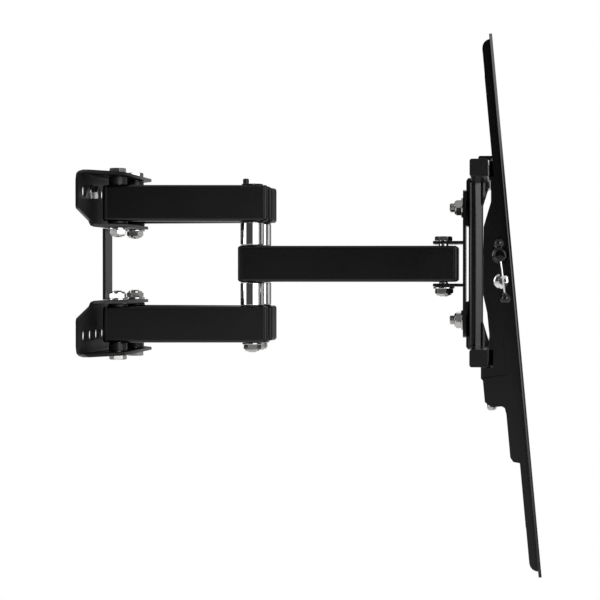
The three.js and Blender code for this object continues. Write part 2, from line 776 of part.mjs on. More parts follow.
const shoulderHead = channelTop + clearance;
const shoulderNut = channelBottom - clearance;
const shoulderEnd = shoulderNut - washerThickness - lockNutHeight - threadEnd;
for (const [sideName, side] of sides) {
  for (const [level, flip] of levels) {
    const pieces = {
      shoulder_bolt: [hexBolt(shoulderEnd, shoulderHead), zinc()],
      shoulder_nut: [lockNut(shoulderNut), zinc()],
      shoulder_spacer: [
        ring(washerRadius - 0.8, boltHole, upperArmTop + clearance, channelTop - channelSheet - clearance),
        greyNylon(),
      ],
    };
    for (const [name, [geometry, material]] of Object.entries(pieces)) {
      const mesh = addPiece(`${name}_${sideName}_${level}`, geometry, material);
      mesh.position.set(shoulderX, side * shoulderY, 0);
      mesh.rotation.x = flip;
    }
  }

  const armGroup = turnedGroup(shoulderX, side * shoulderY, 0, 'z', -side * upperArmTurn);
  for (const [level, flip] of levels) {
    addPiece(`upper_arm_${sideName}_${level}`, upperArm(), blackSteel(), armGroup).rotation.x = flip;
    const sleeve = addPiece(`elbow_sleeve_${sideName}_${level}`, elbowSleeve(), chrome(), armGroup);
    sleeve.position.x = upperArmLength;
    sleeve.rotation.x = flip;
  }
  addPiece(`elbow_bolt_${sideName}`, elbowBolt(side < 0), zinc(), armGroup)
    .position.x = upperArmLength;
  addPiece(`elbow_nut_${sideName}`, lockNut(-upperArmTop - clearance), zinc(), armGroup)
    .position.x = upperArmLength;

  const forearmGroup = turnedGroup(elbowX, side * elbowY, 0, 'z', -side * forearmTurn);
  addPiece(`forearm_${sideName}`, forearm(), blackSteel(), forearmGroup);

  for (const [level, flip] of levels) {
    const cap = addPiece(`rail_cap_${sideName}_${level}`, railCap(flip ? -side : side), blackPlastic());
    cap.rotation.x = flip;
  }

  const screenGroup = turnedGroup(tiltX, 0, tiltZ, 'y', -radians(tiltRest));
  addPiece(`hanger_${sideName}`, hanger(side), blackSteel());
  addPiece(`tilt_bolt_${sideName}`, tiltBolt(side), chrome());
  addPiece(`screen_arm_${sideName}`, screenArm(side), blackSteel(), screenGroup);
  addPiece(`security_screw_${sideName}`, securityScrew(side), zinc(), screenGroup);
  addPiece(`clamp_screw_${sideName}`, clampScrew(side), blackPlastic());
  addPiece(`clamp_bar_${sideName}`, clampBar(side), chrome());
}

addPiece('clevis', clevis(), blackSteel());
addPiece('clevis_bolt_near', wristBolt(), zinc()).position.set(wristX, -wristY, 0);
addPiece('clevis_nut_near', lockNut(-clevisSeat), zinc()).position.set(wristX, -wristY, 0);
addPiece('clevis_bolt_far', openWristBolt(), zinc()).position.set(wristX, wristY, 0);
addPiece('clevis_nut_far', openWristNut(), zinc()).position.set(wristX, wristY, -clevisSeat);

addPiece('head_column', column(), blackSteel());
for (const [level, flip] of levels) {
  addPiece(`rail_${level}`, rail(), blackSteel()).rotation.x = flip;
  const z = flip ? -headBoltZ : headBoltZ;
  addPiece(`head_bolt_${level}`, headBolt(), zinc()).position.z = z;
  addPiece(`head_nut_${level}`, headNut(), zinc()).position.z = z;
}

export default group;
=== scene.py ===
import json
from math import atan2, cos, pi, radians, sin, tan

import bpy
from mathutils import Matrix, Vector


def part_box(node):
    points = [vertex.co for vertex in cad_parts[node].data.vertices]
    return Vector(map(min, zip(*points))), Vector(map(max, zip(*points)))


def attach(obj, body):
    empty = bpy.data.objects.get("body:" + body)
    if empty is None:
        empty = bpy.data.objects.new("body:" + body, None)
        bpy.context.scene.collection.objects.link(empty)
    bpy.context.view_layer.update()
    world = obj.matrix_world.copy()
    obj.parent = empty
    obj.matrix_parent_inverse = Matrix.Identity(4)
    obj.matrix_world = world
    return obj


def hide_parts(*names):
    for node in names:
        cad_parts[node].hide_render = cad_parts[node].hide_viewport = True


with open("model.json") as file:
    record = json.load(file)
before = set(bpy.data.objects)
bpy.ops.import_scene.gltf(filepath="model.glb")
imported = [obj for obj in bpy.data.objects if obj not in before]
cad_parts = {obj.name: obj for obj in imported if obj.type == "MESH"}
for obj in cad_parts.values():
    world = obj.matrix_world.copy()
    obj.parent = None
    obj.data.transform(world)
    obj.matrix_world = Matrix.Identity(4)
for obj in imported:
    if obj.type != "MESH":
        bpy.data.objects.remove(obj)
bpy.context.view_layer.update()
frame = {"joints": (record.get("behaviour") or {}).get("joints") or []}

# Full motion wall mount for a television. Lengths below are millimetres until they reach a mesh.
# X points away from the wall, Y along it and Z up; the near side is -Y.
MM = 0.001
JOINTS = {joint["name"]: joint for joint in frame["joints"]}
SIDES = {"near": -1, "far": 1}
LEVELS = {"top": 1, "bottom": -1}

# ---------- sizes that the finish adds to the frame ----------
ROUND_SIDES = 48
SMALL_ROUND_SIDES = 32
CLEARANCE = 0.3
BOLT_RADIUS = 4.0
THREAD_DEPTH = 0.6
THREAD_PITCH = 1.25
HEX_CORNERS = 14.6
HEX_SMALL_CORNERS = 11.6
WASHER_RADIUS = 8.4
WASHER_THICKNESS = 1.5
NUT_HEIGHT = 5.6
NUT_COLLAR = 1.4
ARM_HEIGHT = 30.0
ARM_WIDTH = 20.0
ARM_CORNER = 2.4
PLUG_LENGTH = 3.2
PLUG_CORNER = 2.6
PLUG_SEAM = 0.35
SHEET_BEVEL = 0.35
BORE_RADIUS = BOLT_RADIUS + 0.4
RING_BORE = BOLT_RADIUS + 0.3
PLANE_ROOM = 0.02


def place_of(joint):
    """A joint's point in millimetres."""
    return Vector(JOINTS[joint]["pos_m"]) / MM


def node_box(node):
    low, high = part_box(node)
    return low / MM, high / MM


SHOULDER = {"near": place_of("fold"), "far": place_of("shoulder_far")}
ELBOW = {side: place_of(f"elbow_{side}") for side in SIDES}
WRIST = {side: Vector((place_of("wrist_near").x, sign * abs(place_of("wrist_near").y), 0))
         for side, sign in SIDES.items()}
TILT = {side: place_of(f"tilt_{side}") for side in SIDES}
CLAMP = {side: place_of(f"clamp_turn_{side}") for side in SIDES}


# ---------- working in Blender ----------
def deselect():
    bpy.ops.object.select_all(action="DESELECT")


def take(piece):
    """Makes a piece the only one selected."""
    deselect()
    piece.select_set(True)
    bpy.context.view_layer.objects.active = piece


def edit(piece, select="SELECT"):
    take(piece)
    bpy.ops.object.mode_set(mode="EDIT")
    bpy.ops.mesh.select_all(action=select)


def leave_edit():
    bpy.ops.object.mode_set(mode="OBJECT")


def settle(piece, name=None):
    """Puts a piece's place in its mesh and leaves its object at the origin."""
    piece.data.transform(piece.matrix_world)
    piece.matrix_world = Matrix.Identity(4)
    if name:
        piece.name = name
        piece.data.name = name
    return piece


def apply(piece, kind, **settings):
    """Adds a modifier with its settings and applies it."""
    take(piece)
    modifier = piece.modifiers.new(kind.title(), kind)
    for key, value in settings.items():
        setattr(modifier, key, value)
    bpy.ops.object.modifier_apply(modifier=modifier.name)
    return piece


def smoothed(piece, angle=40):
    """Shades a turned piece smooth, with its sharper corners kept."""
    take(piece)
    bpy.ops.object.shade_smooth_by_angle(angle=radians(angle))
    return piece


def shade(piece, smooth=36):
    """Shades a piece's flats flat and its rounds smooth, and splits its many-sided faces."""
    smoothed(piece, smooth)
    apply(piece, "WEIGHTED_NORMAL", keep_sharp=True, weight=80)
    return apply(piece, "TRIANGULATE", min_vertices=5, ngon_method="CLIP", keep_custom_normals=True)


def soften(piece, width=SHEET_BEVEL, segments=2, angle=32, smooth=36):
    """Rounds a piece's edges."""
    edit(piece)
    bpy.ops.mesh.remove_doubles(threshold=0.02 * MM)
    leave_edit()
    apply(piece, "BEVEL", width=width * MM, segments=segments, limit_method="ANGLE",
          angle_limit=radians(angle), use_clamp_overlap=True, miter_outer="MITER_ARC")
    edit(piece)
    bpy.ops.mesh.dissolve_degenerate(threshold=0.005 * MM)
    leave_edit()
    return shade(piece, smooth)


def move(piece, matrix):
    piece.data.transform(matrix)
    return piece


def shifted(piece, x=0, y=0, z=0):
    return move(piece, Matrix.Translation(Vector((x, y, z)) * MM))


def turned_about(piece, axis, angle):
    return move(piece, Matrix.Rotation(angle, 4, axis))


def twin(piece, name):
    """A copy with its own mesh."""
    copy = piece.copy()
    copy.data = piece.data.copy()
    copy.name = name
    copy.data.name = name
    bpy.context.scene.collection.objects.link(copy)
    return copy


def join(name, *pieces):
    deselect()
    for piece in pieces:
        piece.select_set(True)
    bpy.context.view_layer.objects.active = pieces[0]
    if len(pieces) > 1:
        bpy.ops.object.join()
    pieces[0].name = name
    pieces[0].data.name = name
    return pieces[0]


def boolean(piece, cutter, operation="DIFFERENCE"):
    apply(piece, "BOOLEAN", object=cutter, operation=operation, solver="EXACT")
    bpy.data.objects.remove(cutter)
    return piece


def finish(piece, material, body, slot, *replaced):
    """Gives a piece its material and body, and hides the solids that it stands for. The slot is not used."""
    piece.data.materials.clear()
    piece.data.materials.append(material)
    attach(piece, body)
    if replaced:
        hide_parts(*replaced)
    return piece


# ---------- simple forms ----------
def round_form(name, steps, sides=ROUND_SIDES, through=False):
    """A round form about Z: a disc drawn up through (radius, height) steps. With through, the last
    step meets the first one round an open bore."""
    (radius, height), *others = steps
    deselect()
    bpy.ops.mesh.primitive_circle_add(vertices=sides, radius=radius * MM, fill_type="NGON",
                                      location=(0, 0, height * MM))
    piece = settle(bpy.context.object, name)
    edit(piece)
    if through:
        bpy.ops.mesh.delete(type="ONLY_FACE")
        bpy.ops.mesh.select_all(action="SELECT")
    for wide, high in others:
        if through:
            bpy.ops.mesh.extrude_edges_move(
                TRANSFORM_OT_translate={"value": (0, 0, (high - height) * MM)})
        else:
            bpy.ops.mesh.extrude_region_move(
                TRANSFORM_OT_translate={"value": (0, 0, (high - height) * MM)})
        bpy.ops.transform.resize(value=(wide / radius, wide / radius, 1),
                                 center_override=(0, 0, high * MM))
        radius, height = wide, high
    bpy.ops.mesh.select_all(action="SELECT")
    bpy.ops.mesh.remove_doubles(threshold=0.00001)
    bpy.ops.mesh.normals_make_consistent(inside=False)
    leave_edit()
    return piece


def ring_form(name, outer, inner, low, high, edge=0.3, sides=ROUND_SIDES):
    steps = [(outer - edge, low), (outer, low + edge), (outer, high - edge), (outer - edge, high),
             (inner, high), (inner, low), (outer - edge, low)]
    return round_form(name, steps, sides, through=True)


def box_form(name, low, high):
    middle = [(a + b) / 2 * MM for a, b in zip(low, high)]
    size = [(b - a) * MM for a, b in zip(low, high)]
    deselect()
    bpy.ops.mesh.primitive_cube_add(size=1, location=middle, scale=size)
    return settle(bpy.context.object, name)


def slot_cutter(length, width, depth, sides=40):
    """A slot's cutter on the origin: long in X, round at both ends, through Z."""
    deselect()
    bpy.ops.mesh.primitive_cylinder_add(vertices=sides, radius=width / 2 * MM, depth=depth * MM)
    cutter = settle(bpy.context.object, "cutter")
    reach = (length - width) / 2 * MM
    for vertex in cutter.data.vertices:
        vertex.co.x += reach if vertex.co.x > 1e-6 else -reach
    return cutter


def thread_steps(radius, low, high):
    """Steps up a bolt's thread, as one ridge and one groove to a pitch."""
    steps = []
    height = low
    while height + THREAD_PITCH <= high:
        steps.append((radius - THREAD_DEPTH, height))
        steps.append((radius, height + THREAD_PITCH * 0.45))
        steps.append((radius, height + THREAD_PITCH * 0.6))
        height += THREAD_PITCH
    steps.append((radius - THREAD_DEPTH, height))
    return steps


def hex_form(name, corners, low, high, chamfer_low=True, chamfer_high=True):
    """A hexagon with its corners turned off at the ends, as on a nut or a bolt head."""
    deselect()
    bpy.ops.mesh.primitive_cylinder_add(vertices=6, radius=corners / 2 * MM, depth=(high - low) * MM,
                                        location=(0, 0, (low + high) / 2 * MM))
    piece = settle(bpy.context.object, name)
    wide = corners / 2 + 0.4
    flat = corners * 0.433
    drop = (wide - flat) * tan(radians(30))
    steps = [(flat if chamfer_low else wide, low)]
    if chamfer_low:
        steps.append((wide, low + drop))
    if chamfer_high:
        steps.append((wide, high - drop))
    steps.append((flat if chamfer_high else wide, high))
    blank = round_form("cutter", steps)
    return boolean(piece, blank, "INTERSECT")


def meeting(*planes):
    """Picks the edges that lie in each of some planes, given as an axis and a place."""
    return lambda *ends: all(abs(end[axis] - place) < PLANE_ROOM for axis, place in planes for end in ends)


def running(axis):
    """Picks the edges that run along an axis."""
    return lambda first, second: abs((second - first)[axis]) > 0.9 * (second - first).length


def round_edges(piece, chosen, radius, segments=5):
    """Rounds the edges that chosen(first, second) picks by their ends, in millimetres."""
    for part in (piece.data.polygons, piece.data.edges, piece.data.vertices):
        for item in part:
            item.select = False
    points = [vertex.co / MM for vertex in piece.data.vertices]
    for edge in piece.data.edges:
        first, second = edge.vertices
        if chosen(points[first], points[second]):
            edge.select = True
            piece.data.vertices[first].select = True
            piece.data.vertices[second].select = True
    take(piece)
    bpy.context.scene.tool_settings.mesh_select_mode = (False, True, False)
    bpy.ops.object.mode_set(mode="EDIT")
    bpy.ops.mesh.bevel(offset=radius * MM, offset_type="OFFSET", segments=segments, affect="EDGES",
                       clamp_overlap=True)
    leave_edit()
    bpy.context.scene.tool_settings.mesh_select_mode = (True, False, False)
    return piece


# ---------- finishes ----------
class Socket:
    """A shader value that can be reckoned with in ordinary expressions."""

    def __init__(self, tree, socket):
        self.tree = tree
        self.socket = socket

    def beside(self, name):
        """Another output of the same node."""
        return Socket(self.tree, self.socket.node.outputs[name])

    def math(self, operation, *values):
        return self.tree.node("ShaderNodeMath", {"operation": operation}, dict(enumerate(values)))

    def __add__(self, other):
        return self.math("ADD", self, other)

    def __radd__(self, other):
        return self.math("ADD", other, self)

    def __sub__(self, other):
        return self.math("SUBTRACT", self, other)

    def __rsub__(self, other):
        return self.math("SUBTRACT", other, self)

    def __mul__(self, other):
        return self.math("MULTIPLY", self, other)

    def __rmul__(self, other):
        return self.math("MULTIPLY", other, self)


class Tree:
    """A shader tree, with one method that adds any node."""

    def __init__(self, owner):
        owner.use_nodes = True
        self.tree = owner.node_tree

    def node(self, kind, settings=None, values=None, output=0):
        made = self.tree.nodes.new(kind)
        for key, value in (settings or {}).items():
            if key == "stops":
                stops = made.color_ramp.elements
                stops[0].position, stops[0].color = value[0]
                stops[1].position, stops[1].color = value[-1]
                for position, colour in value[1:-1]:
                    stops.new(position).color = colour
            else:
                setattr(made, key, value)
        for key, value in (values or {}).items():
            self.feed(made.inputs[key], value)
        return Socket(self, made.outputs[output]) if len(made.outputs) else None

    def feed(self, target, value):
        if isinstance(value, Socket):
            self.tree.links.new(value.socket, target)
        else:
            target.default_value = value


class Finish(Tree):
    """A material with one Principled shader."""

    def __init__(self, name):
        self.material = bpy.data.materials.new(name)
        super().__init__(self.material)
        self.shader = self.tree.nodes["Principled BSDF"]

    def set(self, **values):
        for key, value in values.items():
            self.feed(self.shader.inputs[key.replace("_", " ")], value)
        return self

    def place(self, stretch=(1, 1, 1)):
        spot = self.node("ShaderNodeTexCoord", output="Object")
        return self.node("ShaderNodeMapping", {}, {"Vector": spot, "Scale": stretch})

    def noise(self, scale, detail=3, roughness=0.55, stretch=(1, 1, 1)):
        return self.node("ShaderNodeTexNoise", {},
                         {"Vector": self.place(stretch), "Scale": scale, "Detail": detail,
                          "Roughness": roughness}, output="Fac")

    def bump(self, height, strength, distance):
        return self.node("ShaderNodeBump", {},
                         {"Height": height, "Strength": strength, "Distance": distance}, output="Normal")

    def blend(self, fac, first, second):
        return self.node("ShaderNodeMix", {"data_type": "RGBA"}, {0: fac, 6: first, 7: second}, output=2)


def grey(level, warm=0.0):
    return (level * (1 + warm), level, level * (1 - warm), 1)


def powder_coat(name, dark, light, roughness, specular):
    """Satin black powder coat: a fine pebbled skin with a slow drift of tone."""
    coat = Finish(name)
    drift = coat.noise(9, 2)
    pebble = coat.noise(1500, 2, 0.5)
    ripple = coat.noise(260, 2, 0.5)
    coat.set(Base_Color=coat.blend(drift, grey(dark), grey(light)),
             Roughness=roughness + (drift - 0.5) * 0.1 + (pebble - 0.5) * 0.08,
             Normal=coat.bump(pebble * 0.6 + ripple * 0.4, 0.28, 0.00006))
    coat.set(**{"Specular_IOR_Level": specular})
    return coat.material


def moulded(name, dark, light, roughness, specular, grain=2200, relief=0.2):
    """Moulded plastic or nylon with a fine spark-eroded grain."""
    skin = Finish(name)
    drift = skin.noise(14, 2)
    fine = skin.noise(grain, 2, 0.6)
    skin.set(Base_Color=skin.blend(drift, grey(dark), grey(light)),
             Roughness=roughness + (fine - 0.5) * 0.12,
             Normal=skin.bump(fine, relief, 0.00004))
    skin.set(**{"Specular_IOR_Level": specular})
    return skin.material


def plated(name, dark, light, roughness, spread, warm=0.0, cloud=60, scratch=0.1):
    """Plated metal: cloudy brightness, and faint scratches that follow no single direction."""
    metal = Finish(name)
    clouds = metal.noise(cloud, 4, 0.6)
    lines = metal.noise(900, 2, 0.6, stretch=(1, 1, 0.12))
    metal.set(Base_Color=metal.blend(clouds, grey(dark, warm), grey(light, warm)),
              Metallic=1.0,
              Roughness=roughness + (clouds - 0.5) * spread + (lines - 0.5) * spread,
              Normal=metal.bump(lines, scratch, 0.00003))
    return metal.material


BLACK_STEEL = powder_coat("satin_black_coat", 0.0015, 0.0024, 0.20, 0.5)
BRACKET_STEEL = powder_coat("satin_black_coat_bracket", 0.0030, 0.0046, 0.36, 0.35)
BLACK_PLASTIC = moulded("black_moulding", 0.0024, 0.0038, 0.34, 0.35)
BLACK_KNOB = moulded("black_gloss_knob", 0.0014, 0.0022, 0.09, 0.55, relief=0.01)
GREY_NYLON = moulded("grey_nylon", 0.012, 0.020, 0.34, 0.4)
ZINC = plated("bright_zinc", 0.46, 0.70, 0.14, 0.08, 0.012, cloud=150, scratch=0.14)
CHROME = plated("polished_chrome", 0.84, 0.94, 0.05, 0.03, -0.006, cloud=40, scratch=0.04)


def shave(piece, x, y, out, lean, ahead=6.0):
    """Planes a flat down an outer upright edge, leaning towards the screen by so many degrees."""
    plane = box_form("cutter", (-6, min(0, out * 5), -300), (ahead, max(0, out * 5), 300))
    turned_about(plane, "Z", radians(-out * lean))
    return boolean(piece, shifted(plane, x, y))


# ---------- fasteners, upright on the origin ----------
def lock_nut(name):
    """A lock nut that hangs under a seat at zero: washer, hexagon and rolled collar."""
    hex_low = -WASHER_THICKNESS - NUT_HEIGHT + NUT_COLLAR
    hexagon = hex_form(name, HEX_CORNERS, hex_low, -WASHER_THICKNESS - 0.02)
    collar_radius = HEX_CORNERS * 0.4
    collar = round_form("collar", [
        (collar_radius - 0.9, hex_low - NUT_COLLAR), (collar_radius - 0.25, hex_low - NUT_COLLAR + 0.3),
        (collar_radius, hex_low - NUT_COLLAR + 0.8), (collar_radius, hex_low + 0.5)])
    nut = boolean(hexagon, collar, "UNION")
    bore = round_form("cutter", [(BOLT_RADIUS + 0.1, -20), (BOLT_RADIUS + 0.1, 2)], SMALL_ROUND_SIDES)
    soften(boolean(nut, bore), 0.22)
    washer = ring_form("washer", WASHER_RADIUS, BOLT_RADIUS + 0.25, -WASHER_THICKNESS, 0, 0.25)
    soften(washer, 0.1)
    return join(name, nut, washer)


def hex_bolt(name, end, seat, top, radius=BOLT_RADIUS, corners=HEX_CORNERS, thread=14):
    """A hexagon bolt: head over a seat, plain shank and a threaded end."""
    head = hex_form(name, corners, seat, top, chamfer_low=False)
    steps = [(radius - 1.1, end)] + thread_steps(radius, end + 0.5, min(end + thread, seat - 1))
    steps += [(radius, steps[-1][1] + 0.6), (radius, seat + 1)]
    shank = round_form("shank", steps, SMALL_ROUND_SIDES)
    soften(head, 0.25)
    smoothed(shank)
    return join(name, head, shank)


def pivot_frame(start, end, level=1):
    """The place of an arm that runs from one pivot towards the next, turned over below."""
    lead = end - start
    turn = Matrix.Rotation(atan2(lead.y, lead.x), 4, "Z")
    flip = Matrix.Rotation(0 if level > 0 else pi, 4, "X")
    return Matrix.Translation(Vector((start.x, start.y, 0)) * MM) @ turn @ flip


def upright_at(x, y, level=1):
    flip = Matrix.Rotation(0 if level > 0 else pi, 4, "X")
    return Matrix.Translation(Vector((x, y, 0)) * MM) @ flip


def outward_at(x, y, z, side):
    """A form on Z, laid along Y so that its top points away from the middle on its side."""
    turn = Matrix.Rotation(-pi / 2 if side > 0 else pi / 2, 4, "X")
    return Matrix.Translation(Vector((x, y, z)) * MM) @ turn


def forward_at(x, y, z):
    """A form on Z, laid along X so that its top points towards the screen."""
    return Matrix.Translation(Vector((x, y, z)) * MM) @ Matrix.Rotation(pi / 2, 4, "Y")


def plain_box(name, low, high, along, corner, end_edge=0.3):
    """A bar with its four long edges rounded, and a small round on its ends."""
    bar = box_form(name, low, high)
    round_edges(bar, running(along), corner)
    return soften(bar, end_edge, segments=2, angle=50, smooth=40)


def sheet_copy(node, name):
    """A frame solid's own shape as a clean mesh: corners merged and flat faces made whole."""
    piece = bpy.data.objects.new(name, bpy.data.objects[node].data.copy())
    piece.data.name = name
    bpy.context.scene.collection.objects.link(piece)
    edit(piece)
    bpy.ops.mesh.remove_doubles(threshold=0.002 * MM)
    bpy.ops.mesh.dissolve_limited(angle_limit=radians(0.6))
    bpy.ops.mesh.normals_make_consistent(inside=False)
    leave_edit()
    return piece


# ---------- wall bracket ----------
WALL_ROW = 58.5
WALL_SLOTS = [12.3, 36.9, 61.5, 86.1]
WALL_BOLT_Y = -61.5
FLANGE_TOP = node_box("wall_channel_top")[1].z
FLANGE_BOTTOM = node_box("wall_channel_top")[0].z

for level, up in LEVELS.items():
    channel = sheet_copy(f"wall_channel_{level}", f"channel_{level}")
    for y in [side * place for side in (-1, 1) for place in WALL_SLOTS]:
        cutter = turned_about(slot_cutter(14.6, 8.8, 12), "Z", pi / 2)
        boolean(channel, move(cutter, forward_at(0, y, up * WALL_ROW)))
    for pivot in SHOULDER.values():
        bore = round_form("cutter", [(BORE_RADIUS, -120), (BORE_RADIUS, 120)], SMALL_ROUND_SIDES)
        boolean(channel, shifted(bore, pivot.x, pivot.y, 0))
    soften(channel, 0.4)
    finish(channel, BRACKET_STEEL, "wall_bracket", "black_paint", f"wall_channel_{level}")

strap = sheet_copy("centre_strap", "strap")
soften(strap, 0.4)
finish(strap, BRACKET_STEEL, "wall_bracket", "black_paint", "centre_strap")

seat = 2.8
washer_top = seat + WASHER_THICKNESS
wall_head = hex_form("wall_screw", HEX_SMALL_CORNERS, washer_top, washer_top + 5.2, False, True)
soften(wall_head, 0.25)
wall_washer = ring_form("washer", 6.72, 3.1, seat, washer_top, 0.2)
soften(wall_washer, 0.1)
wall_shank = round_form("shank", [(2.4, 0.4), (3, 1), (3, seat + 2)], SMALL_ROUND_SIDES)
wall_screw = join("wall_screw", wall_head, wall_washer, wall_shank)
move(wall_screw, forward_at(0, WALL_BOLT_Y, WALL_ROW))
finish(wall_screw, ZINC, "wall_bracket", "zinc", "wall_bolt")

# How far each nut came to rest from square, and how far a bolt's head leads its nut, in degrees.
HEAD_LEAD = 14
NUT_TURNS = {"near_top": 8, "near_bottom": 2, "far_top": 30, "far_bottom": 20,
             "elbow_near": 30, "elbow_far": 7, "clevis_near": 17, "clevis_far": 26,
             "head_top": 0, "head_bottom": 11}

NUT = lock_nut("lock_nut")


def nut_copy(name, place):
    """A lock nut, turned as the one at this place came to rest."""
    return turned_about(twin(NUT, name), "Z", radians(NUT_TURNS[place]))


SHOULDER_END = node_box("shoulder_bolt_near_top")[0].z
SHOULDER_HEAD = 4.0
SPACER_LOW = 65.8
for side in SIDES:
    for level, up in LEVELS.items():
        name = f"{side}_{level}"
        place = upright_at(SHOULDER[side].x, SHOULDER[side].y, up)
        nut = shifted(nut_copy(f"shoulder_locknut_{name}", name), z=FLANGE_BOTTOM - CLEARANCE)
        finish(move(nut, place), ZINC, "wall_bracket", "zinc", f"shoulder_nut_{name}")
        bolt = hex_bolt(f"shoulder_pin_{name}", SHOULDER_END, FLANGE_TOP + CLEARANCE,
                        FLANGE_TOP + CLEARANCE + SHOULDER_HEAD)
        turned_about(bolt, "Z", radians(NUT_TURNS[name] + HEAD_LEAD))
        finish(move(bolt, place), ZINC, "wall_bracket", "zinc", f"shoulder_bolt_{name}")
        spacer = ring_form(f"shoulder_washer_{name}", WASHER_RADIUS - 0.8, RING_BORE, SPACER_LOW,
                           FLANGE_TOP - 2.8, 0.5)
        soften(spacer, 0.15)
        finish(move(spacer, place), GREY_NYLON, "wall_bracket", "grey_nylon", f"shoulder_spacer_{name}")

# ---------- arms ----------
UPPER_FLOOR = 35.5
UPPER_TAIL = 12.0
UPPER_NOSE = 13.0
FOREARM_TAIL = 11.5
FOREARM_NOSE = 11.7
ELBOW_RADIUS = 9.9
ELBOW_END = node_box("elbow_bolt_near")[0].z
ELBOW_SEAT = 65.8


def arm_tube(name, start, end, low):
    """A steel tube, and the plastic plugs in its ends as a second piece."""
    half = ARM_WIDTH / 2
    high = low + ARM_HEIGHT
    tube = plain_box(name, (start + PLUG_LENGTH + PLUG_SEAM, -half, low),
                     (end - PLUG_LENGTH - PLUG_SEAM, half, high), 0, ARM_CORNER, 0.25)
    plugs = []
    for inner, outer in ((start + PLUG_LENGTH, start), (end - PLUG_LENGTH, end)):
        plug = box_form("plug", (min(inner, outer), -half, low), (max(inner, outer), half, high))

        def upright(*ends):
            return meeting((0, outer))(*ends) and running(2)(*ends)

        def rim(*ends):
            level_edge = meeting((2, low))(*ends) or meeting((2, high))(*ends)
            return level_edge and not meeting((0, inner))(*ends)

        round_edges(plug, upright, PLUG_CORNER, segments=6)
        round_edges(plug, rim, ARM_CORNER)
        core = box_form("core", (min(inner, outer) + 0.6, 0.4 - half, low + 0.4),
                        (max(inner, outer) - 0.6, half - 0.4, high - 0.4))
        reach = 1.2 if inner > outer else -1.2
        core.data.transform(Matrix.Translation((reach * MM, 0, 0)))
        soften(core, 0.3)
        soften(plug, 0.12, angle=50, smooth=50)
        plugs.append(join("plug", plug, core))
    return tube, join(f"{name}_plugs", *plugs)


def collar_ring(radius, low, high):
    ring = ring_form("collar", radius, RING_BORE, low, high, 0.5)
    return soften(ring, 0.15)


for side in SIDES:
    body = f"upper_arms_{side}"
    upper_length = (ELBOW[side] - SHOULDER[side]).xy.length
    for level, up in LEVELS.items():
        name = f"{side}_{level}"
        place = pivot_frame(SHOULDER[side], ELBOW[side], up)
        tube, plugs = arm_tube(f"upper_tube_{name}", -UPPER_TAIL, upper_length + UPPER_NOSE, UPPER_FLOOR)
        wall_collar = collar_ring(WASHER_RADIUS, UPPER_FLOOR - 2.2, UPPER_FLOOR + 0.5)
        elbow_collar = shifted(collar_ring(ELBOW_RADIUS, UPPER_FLOOR - 0.8, UPPER_FLOOR + 0.5), upper_length)
        collars = join(f"upper_collars_{name}", wall_collar, elbow_collar)
        finish(move(tube, place), BLACK_STEEL, body, "black_paint", f"upper_arm_{name}")
        finish(move(plugs, place), BLACK_PLASTIC, body, "black_plastic")
        finish(move(collars, place), BLACK_PLASTIC, body, "black_plastic")
        sleeve = soften(ring_form(f"sleeve_{name}", ELBOW_RADIUS, RING_BORE, 15.9, 34.4, 0.4), 0.15)
        move(sleeve, place @ Matrix.Translation((upper_length * MM, 0, 0)))
        finish(sleeve, CHROME, body, "bright_chrome", f"elbow_sleeve_{name}")

    at_elbow = pivot_frame(SHOULDER[side], ELBOW[side]) @ Matrix.Translation((upper_length * MM, 0, 0))
    cap = round_form(f"elbow_cap_{side}", [
        (8.7, ELBOW_SEAT), (9, 65.95), (9, 66.2), (8.7, 66.55), (8.2, 66.7), (0.4, 66.7)])
    soften(cap, 0.12)
    if side == "near":
        peg = round_form("peg", [(2.5, 66.3), (2.5, 70.1), (2.2, 70.7), (1.6, 71.0), (0.3, 71.0)],
                         SMALL_ROUND_SIDES)
        shifted(peg, -5.26, -2.45)
        soften(peg, 0.12)
        cap = join(f"elbow_cap_{side}", cap, peg)
    finish(move(cap, at_elbow), BLACK_PLASTIC, body, "black_paint")
    threaded = round_form(f"elbow_pin_{side}", [(2.9, ELBOW_END)]
                          + thread_steps(BOLT_RADIUS, ELBOW_END + 0.5, -62)
                          + [(BOLT_RADIUS, -61), (BOLT_RADIUS, 66)], SMALL_ROUND_SIDES)
    smoothed(threaded)
    finish(move(threaded, at_elbow), ZINC, body, "black_paint", f"elbow_bolt_{side}")
    nut = shifted(nut_copy(f"elbow_locknut_{side}", f"elbow_{side}"), z=-ELBOW_SEAT)
    finish(move(nut, at_elbow), ZINC, body, "zinc", f"elbow_nut_{side}")

    place = pivot_frame(ELBOW[side], WRIST[side])
    forearm_length = (WRIST[side] - ELBOW[side]).xy.length
    tube, plugs = arm_tube(f"forearm_tube_{side}", -FOREARM_TAIL, forearm_length + FOREARM_NOSE,
                           -ARM_HEIGHT / 2)
    collars = join(f"forearm_collars_{side}", collar_ring(ELBOW_RADIUS, 14.5, 15.6),
                   collar_ring(ELBOW_RADIUS, -15.6, -14.5))
    finish(move(tube, place), BLACK_STEEL, f"forearm_{side}", "black_paint", f"forearm_{side}")
    finish(move(plugs, place), BLACK_PLASTIC, f"forearm_{side}", "black_plastic")
    finish(move(collars, place), BLACK_PLASTIC, f"forearm_{side}", "black_plastic")

# ---------- clevis ----------
clevis = sheet_copy("clevis", "clevis_bracket")
for pivot in WRIST.values():
    bore = round_form("cutter", [(BORE_RADIUS, -60), (BORE_RADIUS, 60)], SMALL_ROUND_SIDES)
    boolean(clevis, shifted(bore, pivot.x, pivot.y, 0))
soften(clevis, 0.45)
finish(clevis, BLACK_STEEL, "clevis", "black_paint", "clevis")

